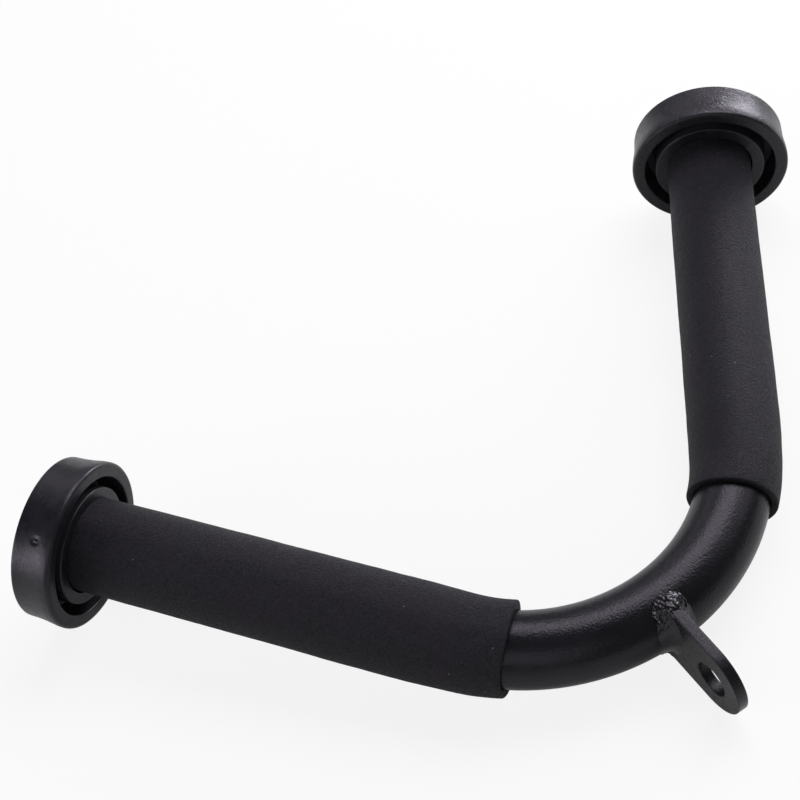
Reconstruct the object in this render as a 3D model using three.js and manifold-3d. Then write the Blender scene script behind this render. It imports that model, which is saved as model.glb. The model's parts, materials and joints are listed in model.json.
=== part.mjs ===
// A V-shaped pull-down handle for a cable machine.
//
// One steel tube is bent once. A flat lug with a hole stands on the outside of the bend, held by two
// weld beads, and takes the cable's hook. Each arm has a foam grip and, at its end, a moulded stop that
// a screw clamps to a threaded insert in the tube.
//
// The handle is drawn in its own plane, XY, with the middle of the bend at the origin, the arms running
// towards +Y and the lug towards -Y. At the end it is tilted and lifted onto the three places on which it
// rests: the rims of its two stops and the edge of its lug. All lengths are in millimetres.

import * as THREE from 'three';
import { mergeVertices } from 'three/addons/utils/BufferGeometryUtils.js';
import Module from 'manifold-3d';

const wasm = await Module();
wasm.setup();

// ---------------------------------------------------------------- driving dimensions

const CLEARANCE = 0.3; // gap left between pieces that touch on the real handle

const TUBE_RADIUS = 14;
const TUBE_WALL = 2;
const BEND_RADIUS = 77.6; // to the tube's centreline
const ARM_SPREAD = 73; // degrees between the two arms
const ARM_LENGTH = 148.2; // straight stretch from the bend to the rim of the stop

const FOAM_WALL = 3.8;
const FOAM_ON_BEND = 17; // how far each grip runs on round the bend

const HUB_WALL = 5;
const HUB_RECESS = 1.5; // the hub's face lies this far behind the rim's
const GROOVE_WIDTH = 3.6;
const RIM_WALL = 5.5;
const RIM_EDGE_RADIUS = 1.4;
const LIP_HEIGHT = 3.5; // of the stop's widest part, next to the hand
const WAIST_HEIGHT = 8.5; // from the rim to where the stop's wall stops curving in from the lip
const WAIST_INSET = 0.95; // how much less the stop's radius is there than at its lip
const FACE_INSET = 1.5; // and at its outer face
const FACE_WALL = 4.6; // between the groove's floor and the stop's outer face
const SEAT_DEPTH = 5; // the tube's end sits this far behind the rim
const WEB_THICKNESS = 3.8; // the wall that the screw clamps
const COUNTERBORE_MARGIN = 1; // around the washer
const EDGE_RADIUS = 0.6; // on the stop's small edges

const SCREW_RADIUS = 4;
const SCREW_LENGTH = 20; // under the head
const SCREW_TIP_CHAMFER = 0.8;
const HEAD_RADIUS = 7;
const HEAD_HEIGHT = 4.4;
const HEAD_RIM_HEIGHT = 0.9; // straight edge below the head's dome
const HEAD_FLAT_RADIUS = 3.9; // flat ring around the socket
const HEAD_SINK = 1.1; // the head's top lies this far below the stop's face
const SOCKET_WIDTH = 5; // across the flats
const SOCKET_DEPTH = 2.6;
const WASHER_RADIUS = 8;
const WASHER_THICKNESS = 1.6;
const WASHER_PLAY = 0.2; // around the screw, beyond the clearance
const INSERT_LENGTH = 15;
const INSERT_CHAMFER = 0.8;

const LUG_THICKNESS = 4.2;
const LUG_WIDTH = 30.3;
const LUG_REACH = 46.6; // from the tube's centreline to the lug's tip
const LUG_ROOT = 8; // from the tube's centreline to where the lug's two horns end
const LUG_HOLE_RADIUS = 7;
const LUG_HOLE_MARGIN = 14.6; // from the hole's centre to the lug's tip
const LUG_EDGE_BEVEL = 0.4;

const WELD_LEG = 5.2; // each bead's width on the tube and its height on the lug
const WELD_CROWN = 0.5; // how far the bead's face bulges
const WELD_ANGLE_FROM = 30; // degrees round the tube, from straight up towards the lug
const WELD_ANGLE_TO = 150;
const WELD_CAP_WIDTH = 13; // the bead's end caps, over and under the lug's root
const WELD_CAP_LENGTH = 9;
const WELD_CAP_HEIGHT = 5.6;
const WELD_CAP_ANGLE = 26; // degrees from straight up, or straight down, to a cap's middle

// ---------------------------------------------------------------- how finely shapes are cut and solved

const TUBE_SIDES = 32;
const STOP_SIDES = 40;
const HARDWARE_SIDES = 24;
const BEND_STEPS = 20;
const FOAM_BEND_STEPS = 3;
const CORNER_STEPS = 2;
const LUG_ARC_STEPS = 14;
const WELD_STEPS = 14;
const CAP_SIDES = 14;
const HEX_SIDES = 6;
const TILT_HALVINGS = 40;

// ---------------------------------------------------------------- sizes that follow

const SIDES = [['left', -1], ['right', 1]];
const TUBE_BORE = TUBE_RADIUS - TUBE_WALL;
const FOAM_BORE = TUBE_RADIUS + CLEARANCE;
const FOAM_RADIUS = FOAM_BORE + FOAM_WALL;
const ARM_ANGLE = THREE.MathUtils.degToRad(ARM_SPREAD) / 2; // from the handle's mirror plane
const BEND_ANGLE = Math.PI / 2 - ARM_ANGLE; // from the middle of the bend to its end
const BEND_HALF = BEND_RADIUS * BEND_ANGLE;
const RIM_DISTANCE = BEND_HALF + ARM_LENGTH; // along the centreline, from the middle of the bend

const HUB_BORE = FOAM_RADIUS + CLEARANCE;
const HUB_RADIUS = HUB_BORE + HUB_WALL;
const GROOVE_RADIUS = HUB_RADIUS + GROOVE_WIDTH;
const STOP_RADIUS = GROOVE_RADIUS + RIM_WALL;
const COUNTERBORE_RADIUS = WASHER_RADIUS + COUNTERBORE_MARGIN;
const COUNTERBORE_FLOOR = SEAT_DEPTH + WEB_THICKNESS;
const WASHER_SEAT = COUNTERBORE_FLOOR + CLEARANCE;
const HEAD_SEAT = WASHER_SEAT + WASHER_THICKNESS + CLEARANCE;
const STOP_THICKNESS = HEAD_SEAT + HEAD_HEIGHT + HEAD_SINK;
const GROOVE_DEPTH = STOP_THICKNESS - FACE_WALL;
const SCREW_HOLE_RADIUS = SCREW_RADIUS + CLEARANCE;
const ARM_END = SEAT_DEPTH - CLEARANCE; // where the tube, the foam and the insert end

const LUG_END_RADIUS = LUG_WIDTH / 2;
const WELD_PATH_RADIUS = TUBE_RADIUS + CLEARANCE;

// ---------------------------------------------------------------- materials

function finish(color, roughness, metalness) {
  return new THREE.MeshStandardMaterial({ color, roughness, metalness });
}

const POWDER_COAT = finish(0x232226, 0.42, 0);
const WELD_COAT = finish(0x2e2d31, 0.32, 0);
const FOAM = finish(0x2d2c31, 0.95, 0);
const STOP_PLASTIC = finish(0x29282d, 0.5, 0);
const BLACK_STEEL = finish(0x343438, 0.4, 0.8);
const BARE_STEEL = finish(0x8d8d90, 0.35, 1);

// ---------------------------------------------------------------- booleans

/** The closed solid that a geometry bounds. */
function solidOf(geometry) {
  const bare = new THREE.BufferGeometry();
  bare.setAttribute('position', geometry.getAttribute('position'));
  bare.setIndex(geometry.getIndex());
  const merged = mergeVertices(bare);
  const vertProperties = new Float32Array(merged.getAttribute('position').array);
  const triVerts = new Uint32Array(merged.getIndex().array);
  return new wasm.Manifold(new wasm.Mesh({ numProp: 3, vertProperties, triVerts }));
}

/** The geometry of a solid's surface. */
function geometryOf(solid) {
  const { vertProperties, triVerts } = solid.getMesh();
  const geometry = new THREE.BufferGeometry();
  geometry.setAttribute('position', new THREE.BufferAttribute(vertProperties, 3));
  geometry.setIndex(new THREE.BufferAttribute(triVerts, 1));
  return geometry;
}

// ---------------------------------------------------------------- the handle's centreline

/** The point on the centreline at a distance from the middle of the bend: minus is left, plus is right. */
function centrePoint(distance, target = new THREE.Vector3()) {
  const side = Math.sign(distance);
  const alongBend = Math.min(Math.abs(distance), BEND_HALF);
  const alongArm = Math.abs(distance) - alongBend;
  const angle = alongBend / BEND_RADIUS;
  const x = BEND_RADIUS * Math.sin(angle) + alongArm * Math.cos(angle);
  const y = BEND_RADIUS * (1 - Math.cos(angle)) + alongArm * Math.sin(angle);
  return target.set(side * x, y, 0);
}

/** The direction of the centreline there, towards the right arm's end. */
function centreDirection(distance, target = new THREE.Vector3()) {
  const angle = THREE.MathUtils.clamp(distance / BEND_RADIUS, -BEND_ANGLE, BEND_ANGLE);
  return target.set(Math.cos(angle), Math.sin(angle), 0);
}

/** A stretch of the centreline, with a section of the sweep at each of its stations and none between. */
class Centreline extends THREE.Curve {
  constructor(stations) {
    super();
    this.stations = stations;
  }

  distanceAt(u) {
    const place = u * (this.stations.length - 1);
    const index = Math.min(Math.floor(place), this.stations.length - 2);
    return THREE.MathUtils.lerp(this.stations[index], this.stations[index + 1], place - index);
  }

  getPointAt(u, target) {
    return centrePoint(this.distanceAt(u), target);
  }

  getTangentAt(u, target) {
    return centreDirection(this.distanceAt(u), target);
  }
}

/** Evenly spaced distances, both ends included. */
function evenly(from, to, steps) {
  return Array.from({ length: steps + 1 }, (_, i) => THREE.MathUtils.lerp(from, to, i / steps));
}

/** A ring of points, as a shape or as a hole in one. */
function circle(Kind, radius, sides) {
  const points = evenly(0, 2 * Math.PI, sides).slice(0, sides);
  return new Kind(points.map((a) => new THREE.Vector2(radius * Math.cos(a), radius * Math.sin(a))));
}

/** A round bar, or a tube where a bore is given, that follows the centreline through its stations. */
function sweptTube(radius, bore, stations) {
  const section = circle(THREE.Shape, radius, TUBE_SIDES);
  if (bore > 0) section.holes.push(circle(THREE.Path, bore, TUBE_SIDES));
  const extrudePath = new Centreline(stations);
  return new THREE.ExtrudeGeometry(section, { steps: stations.length - 1, extrudePath, curveSegments: 1 });
}

// ---------------------------------------------------------------- turned shapes

/**
 * The outline of a turned piece. Its corners are [radius, height], counter-clockwise with the radius to the
 * right, with an optional third value, the corner's rounding, limited by the shorter edge that meets there.
 */
function outline(corners) {
  const points = [];
  corners.forEach(([radius, height, rounding = 0], i) => {
    const corner = new THREE.Vector2(radius, height);
    const before = new THREE.Vector2(...corners.at(i - 1)).sub(corner);
    const after = new THREE.Vector2(...corners[(i + 1) % corners.length]).sub(corner);
    const reach = Math.min(rounding, before.length() / 2, after.length() / 2);
    if (reach === 0) {
      points.push(corner);
      return;
    }
    const start = corner.clone().add(before.setLength(reach));
    const end = corner.clone().add(after.setLength(reach));
    const centre = corner.clone().add(before).add(after);
    for (const step of evenly(0, Math.PI / 2, CORNER_STEPS)) {
      const point = centre.clone();
      point.addScaledVector(start.clone().sub(centre), Math.cos(step));
      point.addScaledVector(end.clone().sub(centre), Math.sin(step));
      points.push(point);
    }
  });
  return points;
}

/** A ring turned about +Y, whose outline closes on itself. */
function turnedRing(corners, sides) {
  const points = outline(corners);
  return new THREE.LatheGeometry([...points, points[0].clone()], sides);
}

// ---------------------------------------------------------------- the pieces

function handleTube() {
  const end = RIM_DISTANCE + ARM_END;
  const stations = [-end, ...evenly(-BEND_HALF, BEND_HALF, BEND_STEPS), end];
  return sweptTube(TUBE_RADIUS, TUBE_BORE, stations);
}

function foamGrip(side) {
  const bendStations = evenly(BEND_HALF - FOAM_ON_BEND, BEND_HALF, FOAM_BEND_STEPS);
  const stations = [...bendStations, RIM_DISTANCE + ARM_END].map((distance) => side * distance);
  if (side < 0) stations.reverse();
  return sweptTube(FOAM_RADIUS, FOAM_BORE, stations);
}

/** The stop, turned about the arm. Height 0 is the plane of its rim and +Y points away from the hand. */
function endStop() {
  return turnedRing([
    [HUB_BORE, SEAT_DEPTH],
    [HUB_BORE, HUB_RECESS, EDGE_RADIUS],
    [HUB_RADIUS, HUB_RECESS, EDGE_RADIUS],
    [HUB_RADIUS, GROOVE_DEPTH],
    [GROOVE_RADIUS, GROOVE_DEPTH],
    [GROOVE_RADIUS, 0, EDGE_RADIUS],
    [STOP_RADIUS, 0, RIM_EDGE_RADIUS],
    [STOP_RADIUS, LIP_HEIGHT],
    [STOP_RADIUS - WAIST_INSET, WAIST_HEIGHT],
    [STOP_RADIUS - FACE_INSET, STOP_THICKNESS, RIM_EDGE_RADIUS],
    [COUNTERBORE_RADIUS, STOP_THICKNESS, EDGE_RADIUS],
    [COUNTERBORE_RADIUS, COUNTERBORE_FLOOR],
    [SCREW_HOLE_RADIUS, COUNTERBORE_FLOOR],
    [SCREW_HOLE_RADIUS, SEAT_DEPTH],
  ], STOP_SIDES);
}

/** The threaded plug in the tube's end. Its outer end is at height 0. */
function threadInsert() {
  const radius = TUBE_BORE - CLEARANCE;
  return turnedRing([
    [radius - INSERT_CHAMFER, -INSERT_LENGTH],
    [radius, INSERT_CHAMFER - INSERT_LENGTH],
    [radius, 0],
    [SCREW_HOLE_RADIUS, 0],
    [SCREW_HOLE_RADIUS, -INSERT_LENGTH],
  ], HARDWARE_SIDES);
}

/** The washer. It lies on height 0. */
function endWasher() {
  const bore = SCREW_HOLE_RADIUS + WASHER_PLAY;
  return turnedRing([
    [WASHER_RADIUS, 0],
    [WASHER_RADIUS, WASHER_THICKNESS],
    [bore, WASHER_THICKNESS],
    [bore, 0],
  ], HARDWARE_SIDES);
}

/** The button-head screw. Its head stands on height 0 and has a hexagonal socket. */
function endScrew() {
  const domeHeight = HEAD_HEIGHT - HEAD_RIM_HEIGHT;
  const dome = evenly(0, Math.PI / 2, CORNER_STEPS + 2).map((angle) => new THREE.Vector2(
    HEAD_FLAT_RADIUS + (HEAD_RADIUS - HEAD_FLAT_RADIUS) * Math.cos(angle),
    HEAD_RIM_HEIGHT + domeHeight * Math.sin(angle),
  ));
  const profile = [
    new THREE.Vector2(0, -SCREW_LENGTH),
    new THREE.Vector2(SCREW_RADIUS - SCREW_TIP_CHAMFER, -SCREW_LENGTH),
    new THREE.Vector2(SCREW_RADIUS, SCREW_TIP_CHAMFER - SCREW_LENGTH),
    new THREE.Vector2(SCREW_RADIUS, 0),
    new THREE.Vector2(HEAD_RADIUS, 0),
    ...dome,
    new THREE.Vector2(0, HEAD_HEIGHT),
  ];
  const socketRadius = SOCKET_WIDTH / 2 / Math.cos(Math.PI / HEX_SIDES);
  const socket = new THREE.CylinderGeometry(socketRadius, socketRadius, 2 * SOCKET_DEPTH, HEX_SIDES);
  socket.translate(0, HEAD_HEIGHT, 0);
  const blank = new THREE.LatheGeometry(profile, HARDWARE_SIDES);
  return geometryOf(solidOf(blank).subtract(solidOf(socket)));
}

/** A plate in the lug's plane, YZ, that is centred on x = 0 and thicker by a margin on every side. */
function lugPlate(margin, holed) {
  const halfWidth = LUG_END_RADIUS + margin;
  const roundCentre = LUG_REACH - LUG_END_RADIUS;
  const plate = new THREE.Shape();
  plate.moveTo(LUG_ROOT - margin, -halfWidth);
  plate.lineTo(roundCentre, -halfWidth);
  plate.absarc(roundCentre, 0, halfWidth, -Math.PI / 2, Math.PI / 2);
  plate.lineTo(LUG_ROOT - margin, halfWidth);
  plate.closePath();
  if (holed) {
    const hole = new THREE.Path();
    hole.absarc(LUG_REACH - LUG_HOLE_MARGIN, 0, LUG_HOLE_RADIUS, 0, 2 * Math.PI);
    plate.holes.push(hole);
  }
  const thickness = LUG_THICKNESS + 2 * margin;
  const bevel = holed ? LUG_EDGE_BEVEL : 0;
  const geometry = new THREE.ExtrudeGeometry(plate, {
    depth: thickness - 2 * bevel,
    bevelEnabled: holed,
    bevelThickness: bevel,
    bevelSize: bevel,
    bevelOffset: -bevel,
    bevelSegments: 1,
    curveSegments: LUG_ARC_STEPS,
  });
  geometry.translate(0, 0, bevel - thickness / 2);
  const outward = new THREE.Vector3(0, -1, 0);
  const up = new THREE.Vector3(0, 0, 1);
  const across = new THREE.Vector3(-1, 0, 0);
  return geometry.applyMatrix4(new THREE.Matrix4().makeBasis(outward, up, across));
}

/** The bend as a solid bar, thicker by the clearance, that cuts what is welded onto it. */
function bendCutter() {
  return solidOf(sweptTube(TUBE_RADIUS + CLEARANCE, 0, evenly(-BEND_HALF, BEND_HALF, BEND_STEPS)));
}

function cableLug() {
  return geometryOf(solidOf(lugPlate(0, true)).subtract(bendCutter()));
}

/** A point round the tube in the lug's plane: angle 0 is straight up, 90 degrees is the lug's way. */
function roundTube(x, radius, angle) {
  return new THREE.Vector3(x, -radius * Math.sin(angle), radius * Math.cos(angle));
}

/** The arc that the corner between the lug's side and the tube follows. */
class WeldPath extends THREE.Curve {
  constructor(x) {
    super();
    this.x = x;
  }

  angleAt(u) {
    return THREE.MathUtils.degToRad(THREE.MathUtils.lerp(WELD_ANGLE_FROM, WELD_ANGLE_TO, u));
  }

  getPointAt(u) {
    return roundTube(this.x, WELD_PATH_RADIUS, this.angleAt(u));
  }

  getTangentAt(u) {
    return roundTube(0, 1, this.angleAt(u) + Math.PI / 2);
  }
}

/** The fillet of weld along one side of the lug's root. */
function weldFillet(side) {
  const outward = new THREE.Vector2(WELD_LEG, 0);
  const upward = new THREE.Vector2(0, WELD_LEG);
  const crown = new THREE.Vector2(1, 1).setLength(2 * WELD_CROWN).add(outward.clone().lerp(upward, 0.5));
  const face = new THREE.QuadraticBezierCurve(outward, crown, upward).getPoints(CORNER_STEPS + 1);
  const depth = 2 * CLEARANCE; // the section starts inside the lug and the tube, which then cut it
  const section = new THREE.Shape([
    new THREE.Vector2(-depth, -depth),
    new THREE.Vector2(WELD_LEG, -depth),
    ...face,
    new THREE.Vector2(-depth, WELD_LEG),
  ].map((point) => new THREE.Vector2(-side * point.x, -point.y))); // the sweep's section faces the tube
  const extrudePath = new WeldPath(side * (LUG_THICKNESS / 2 + CLEARANCE));
  return new THREE.ExtrudeGeometry(section, { steps: WELD_STEPS, extrudePath, curveSegments: 1 });
}

/** The rounded lump that ends the beads, at an angle round the tube from straight up. */
function weldCap(degrees) {
  const geometry = new THREE.SphereGeometry(0.5, CAP_SIDES, CAP_SIDES / 2);
  geometry.rotateX(Math.PI / 2);
  geometry.scale(WELD_CAP_WIDTH, WELD_CAP_LENGTH, WELD_CAP_HEIGHT);
  const angle = THREE.MathUtils.degToRad(degrees);
  const middle = roundTube(0, TUBE_RADIUS, angle);
  return geometry.rotateX(angle).translate(...middle.toArray());
}

function lugWeld(side) {
  const reach = 2 * LUG_WIDTH;
  const half = new THREE.BoxGeometry(reach, reach, reach);
  half.translate(side * (reach / 2 + CLEARANCE / 2), 0, 0);
  const lug = solidOf(lugPlate(CLEARANCE, false));
  const bead = solidOf(weldFillet(side))
    .add(solidOf(weldCap(WELD_CAP_ANGLE)))
    .add(solidOf(weldCap(180 - WELD_CAP_ANGLE)));
  return geometryOf(bead.subtract(bendCutter()).subtract(lug).intersect(solidOf(half)));
}

// ---------------------------------------------------------------- the assembly

function piece(name, geometry, material) {
  const mesh = new THREE.Mesh(geometry, material);
  mesh.name = name;
  return mesh;
}

/** What is clamped to one arm's end. The group's origin is at the rim and its +Y is the arm's way out. */
function armEnd(name, side) {
  const stop = piece(`end_stop_${name}`, endStop(), STOP_PLASTIC);
  const insert = piece(`thread_insert_${name}`, threadInsert(), BARE_STEEL);
  const washer = piece(`end_washer_${name}`, endWasher(), BLACK_STEEL);
  const screw = piece(`end_screw_${name}`, endScrew(), BLACK_STEEL);
  insert.position.y = ARM_END;
  washer.position.y = WASHER_SEAT;
  screw.position.y = HEAD_SEAT;
  const group = new THREE.Group();
  group.add(stop, insert, washer, screw);
  centrePoint(side * RIM_DISTANCE, group.position);
  group.rotation.z = -side * ARM_ANGLE;
  return group;
}

function handle() {
  const group = new THREE.Group();
  group.add(piece('handle_tube', handleTube(), POWDER_COAT));
  group.add(piece('cable_lug', cableLug(), POWDER_COAT));
  for (const [name, side] of SIDES) {
    group.add(piece(`lug_weld_${name}`, lugWeld(side), WELD_COAT));
    group.add(piece(`foam_grip_${name}`, foamGrip(side), FOAM));
    group.add(armEnd(name, side));
  }
  return group;
}

// ---------------------------------------------------------------- the resting place

/** How far the stops' rims lie below the lug's edge when the handle's plane is tilted up by an angle. */
function stopsBelowLug(tilt) {
  const rim = centrePoint(RIM_DISTANCE);
  const edgeAlong = RIM_EDGE_RADIUS * Math.cos(ARM_ANGLE);
  const lean = Math.cos(ARM_ANGLE) * Math.sin(tilt);
  const stopDrop = (STOP_RADIUS - RIM_EDGE_RADIUS) * Math.sqrt(1 - lean * lean) + RIM_EDGE_RADIUS;
  const stopLowest = (rim.y + edgeAlong) * Math.sin(tilt) - stopDrop;
  const lugLowest = -(LUG_REACH - LUG_END_RADIUS) * Math.sin(tilt) - LUG_END_RADIUS;
  return lugLowest - stopLowest;
}

/** The tilt at which the lug's edge and both rims touch the same floor. */
function restingTilt() {
  let low = 0;
  let high = Math.PI / 4;
  for (let i = 0; i < TILT_HALVINGS; i += 1) {
    const middle = (low + high) / 2;
    if (stopsBelowLug(middle) > 0) low = middle;
    else high = middle;
  }
  return low;
}

/** The handle at rest on z = 0, with the middle of its box above the origin. */
function restingHandle() {
  const tilted = handle();
  tilted.rotation.x = restingTilt();
  const box = new THREE.Box3().setFromObject(tilted, true);
  const middle = box.getCenter(new THREE.Vector3());
  tilted.position.set(-middle.x, -middle.y, -box.min.z);
  const group = new THREE.Group();
  group.add(tilted);
  return group;
}

export default restingHandle();
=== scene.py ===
"""The looks of a V-shaped pull-down handle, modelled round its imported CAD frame. Lengths are in metres."""

import json
import math
import random

import bmesh
import bpy
import numpy as np
from mathutils import Matrix, Vector, noise


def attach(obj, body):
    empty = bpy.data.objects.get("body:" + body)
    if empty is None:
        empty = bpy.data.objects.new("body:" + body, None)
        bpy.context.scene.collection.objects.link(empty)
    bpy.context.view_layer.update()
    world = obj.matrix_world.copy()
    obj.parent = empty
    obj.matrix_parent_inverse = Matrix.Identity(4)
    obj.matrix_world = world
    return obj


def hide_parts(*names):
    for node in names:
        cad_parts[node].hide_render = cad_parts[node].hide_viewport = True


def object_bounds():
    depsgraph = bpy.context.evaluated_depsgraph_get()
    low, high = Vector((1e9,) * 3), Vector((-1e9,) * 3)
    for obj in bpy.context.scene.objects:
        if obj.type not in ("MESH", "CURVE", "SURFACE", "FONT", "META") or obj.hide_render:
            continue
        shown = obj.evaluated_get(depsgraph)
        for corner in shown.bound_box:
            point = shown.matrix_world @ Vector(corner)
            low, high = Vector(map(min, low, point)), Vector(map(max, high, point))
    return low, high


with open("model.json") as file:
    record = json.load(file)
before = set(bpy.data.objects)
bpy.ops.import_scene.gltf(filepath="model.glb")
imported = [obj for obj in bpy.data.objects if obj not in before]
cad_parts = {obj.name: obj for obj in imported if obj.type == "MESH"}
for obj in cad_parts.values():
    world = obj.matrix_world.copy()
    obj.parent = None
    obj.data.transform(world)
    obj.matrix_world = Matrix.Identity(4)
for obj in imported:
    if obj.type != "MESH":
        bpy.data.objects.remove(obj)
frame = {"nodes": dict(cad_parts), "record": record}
cad_low, cad_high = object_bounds()

MM = 0.001
BODY = "root"
SIDES = {"left": -1, "right": 1}
SAME = 0.01 * MM  # lengths this near to each other count as the same
MERGED = 0.001 * MM  # and vertices this near become one

# ------------------------------------------------------------------ sizes measured on the frame


def node_points(node):
    """A CAD node's vertices, a row each."""
    return np.array([vertex.co for vertex in frame["nodes"][node].data.vertices])


def span(points, direction):
    """The lowest and the highest place of the points along a direction."""
    reach = points @ np.array(direction)
    return reach.min(), reach.max()


def middle(points, directions):
    """The middle of the points' extent along three directions at right angles to each other."""
    return sum(np.array(direction) * sum(span(points, direction)) / 2 for direction in directions)


mounts = {mount["name"]: mount for mount in frame["record"]["mounts"]}
arm_axis = Vector(mounts["stop_face_right"]["axis"]).normalized()
ARM_ANGLE = math.asin(arm_axis.x)  # between an arm and the handle's mirror plane
TILT = math.atan2(arm_axis.z, arm_axis.y)  # between the handle's plane and the floor

# The handle's own directions: across it, from the lug to its open side, and up from its plane.
ACROSS = np.array([1.0, 0.0, 0.0])
ALONG = np.array([0.0, math.cos(TILT), math.sin(TILT)])
UP = np.array([0.0, -math.sin(TILT), math.cos(TILT)])

tube_points = node_points("handle_tube")
middle_ring = tube_points[np.abs(tube_points[:, 0]) < SAME]
APEX = middle(middle_ring, (ACROSS, ALONG, UP))  # the middle of the bend, on the tube's centreline
ring_radii = np.linalg.norm(middle_ring - APEX, axis=1)
TUBE_RADIUS = ring_radii.max()
TUBE_BORE = ring_radii.min()

stop_points = node_points("end_stop_right")
arm_out = np.array(arm_axis)
stop_middle = middle(stop_points, (arm_out, np.cross(UP, arm_out), UP))
RIM_PLACE, FACE_PLACE = span(stop_points, arm_out)
STOP_RADIUS = np.ptp(span(stop_points, UP)) / 2
STOP_THICKNESS = FACE_PLACE - RIM_PLACE

arms_corner = stop_middle - arm_out * stop_middle[0] / arm_out[0]  # where both arms' axes would meet
BEND_RADIUS = (APEX - arms_corner) @ ALONG / (1 / math.sin(ARM_ANGLE) - 1)
BEND_HALF = BEND_RADIUS * (math.pi / 2 - ARM_ANGLE)
ARM_LENGTH = RIM_PLACE - arms_corner @ arm_out - BEND_RADIUS / math.tan(ARM_ANGLE)
RIM_DISTANCE = BEND_HALF + ARM_LENGTH  # along the centreline, from the apex to the plane of a stop's rim

foam_points = node_points("foam_grip_right") - APEX
foam_turns = np.arctan2(foam_points @ ACROSS, BEND_RADIUS - foam_points @ ALONG)
FOAM_START = BEND_RADIUS * foam_turns.min()
FOAM_RADIUS = np.ptp(span(foam_points, UP)) / 2
ARM_END = RIM_DISTANCE + span(foam_points + APEX, arm_out)[1] - RIM_PLACE

lug_points = node_points("cable_lug") - APEX
LUG_THICKNESS = np.ptp(span(lug_points, ACROSS))
LUG_WIDTH = np.ptp(span(lug_points, UP))
LUG_REACH = -span(lug_points, ALONG)[0]
LUG_ROOT = -span(lug_points, ALONG)[1]

SCREW_TIP, HEAD_TOP = span(node_points("end_screw_right"), arm_out) - RIM_PLACE
HEAD_RADIUS = np.ptp(span(node_points("end_screw_right"), UP)) / 2
WASHER_BOTTOM, WASHER_TOP = span(node_points("end_washer_right"), arm_out) - RIM_PLACE
WASHER_RADIUS = np.ptp(span(node_points("end_washer_right"), UP)) / 2

# ------------------------------------------------------------------ sizes of the finer shapes

FOAM_CLEARANCE = 0.2 * MM
FOAM_BORE = TUBE_RADIUS + FOAM_CLEARANCE
FOAM_STRETCH = {"left": 0.2 * MM, "right": -0.7 * MM}  # added to a radius: one grip was pulled thinner
FOAM_PINCH = {"left": 0.95 * MM, "right": 0.8 * MM}  # a grip is this much thinner at its cut end
FOAM_PINCH_LENGTH = 32 * MM
FOAM_EDGE = 0.55 * MM
FOAM_WAVE = 0.16 * MM  # how far its surface wanders
FOAM_WAVE_SIZE = 17 * MM
FOAM_LUMP = 0.05 * MM
FOAM_LUMP_SIZE = 4 * MM
FOAM_HELD = 8 * MM  # the wandering dies away over this length in front of a stop
FOAM_SHIFT_AT = (0, 0.15, 0.35, 0.7, 1)  # shares of a grip's length, from its cut end
FOAM_SHIFT = {  # and how far inwards it sits there
    "left": (0.35 * MM, 0.05 * MM, 0.05 * MM, 0.45 * MM, 0.6 * MM),
    "right": (-0.1 * MM, -0.65 * MM, -0.55 * MM, 0.25 * MM, 0.5 * MM),
}
CUT_REACH = {"left": 1.5 * MM, "right": 2 * MM}  # how far it runs on round the bend past its CAD solid
CUT_LEAN = {"left": 2.3 * MM, "right": 1.5 * MM}  # and how much further yet on the bend's inside
CUT_LEAN_LENGTH = 20 * MM
CUT_WAVE = 0.45 * MM  # how far its cut end wanders
CUT_WAVE_SIZE = 13 * MM
CUT_NIBBLE = 0.12 * MM
CUT_NIBBLE_SIZE = 2.5 * MM

# Heights on a stop are measured outwards along the arm, from the plane of its CAD rim.
HUB_CLEARANCE = 0.1 * MM
HUB_RECESS = 0.3 * MM
HUB_SEAT = 5 * MM  # the height of the bottom of its bore
GROOVE_WIDTH = 4.2 * MM
GROOVE_FLOOR_RADIUS = 1 * MM
GROOVE_PAINTED_LIGHT_HEIGHT = 1 * MM  # the groove is coloured lighter from here on down, as painted light
RIM_WALL = 5.4 * MM
RIM_EDGE = {"left": 1.5 * MM, "right": 1.2 * MM}
LIP_HEIGHT = 3 * MM  # of the stop's widest part
LIP_EDGE = 1.2 * MM
WAIST_HEIGHT = 10 * MM  # where the stop's wall stops narrowing from its lip
WAIST_INSET = 1.1 * MM
WAIST_BLEND = 4.5 * MM
FACE_INSET = 1.25 * MM
FACE_EDGE = 0.7 * MM
RIM_PROUD = {"left": 0.1 * MM, "right": 0.35 * MM}  # a little end play: how far a stop's rim stands out
FACE_PROUD = {"left": 0 * MM, "right": 0.7 * MM}  # and its outer face
STOP_SHIFT = {"left": -0.15 * MM, "right": 0.1 * MM}  # how far inwards a stop's rim sits off its axis
WALL_WAVE = 0.035 * MM  # how uneven the stop's moulded wall is
WALL_WAVE_SIZE = 5.5 * MM
SMALL_EDGE = 0.6 * MM
FINE_EDGE = SMALL_EDGE / 2
STEEL_EDGE = SMALL_EDGE / 3
FACE_WALL = 4.6 * MM
COUNTERBORE_CLEARANCE = 1 * MM
COUNTERBORE_RADIUS = WASHER_RADIUS + COUNTERBORE_CLEARANCE
WASHER_GAP = 0.3 * MM
COUNTERBORE_FLOOR = WASHER_BOTTOM - WASHER_GAP
SCREW_RADIUS = 4 * MM
SCREW_HOLE_RADIUS = 4.3 * MM
WASHER_BORE = 4.5 * MM
STOP_MARKS = {  # small marks in the stops' walls: (turn in degrees, height, radius, depth), proud if minus
    "left": (
        (121.5, 7.5 * MM, 2.4 * MM, 0.5 * MM),
        (121.5, 7.5 * MM, 1.0 * MM, -0.45 * MM),
    ),
    "right": (
        (-58.0, 7.5 * MM, 2.1 * MM, 0.3 * MM),
        (-58.0, 7.5 * MM, 0.8 * MM, -0.35 * MM),
        (65.5, 0.6 * MM, 0.8 * MM, 0.3 * MM),
    ),
}

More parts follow.
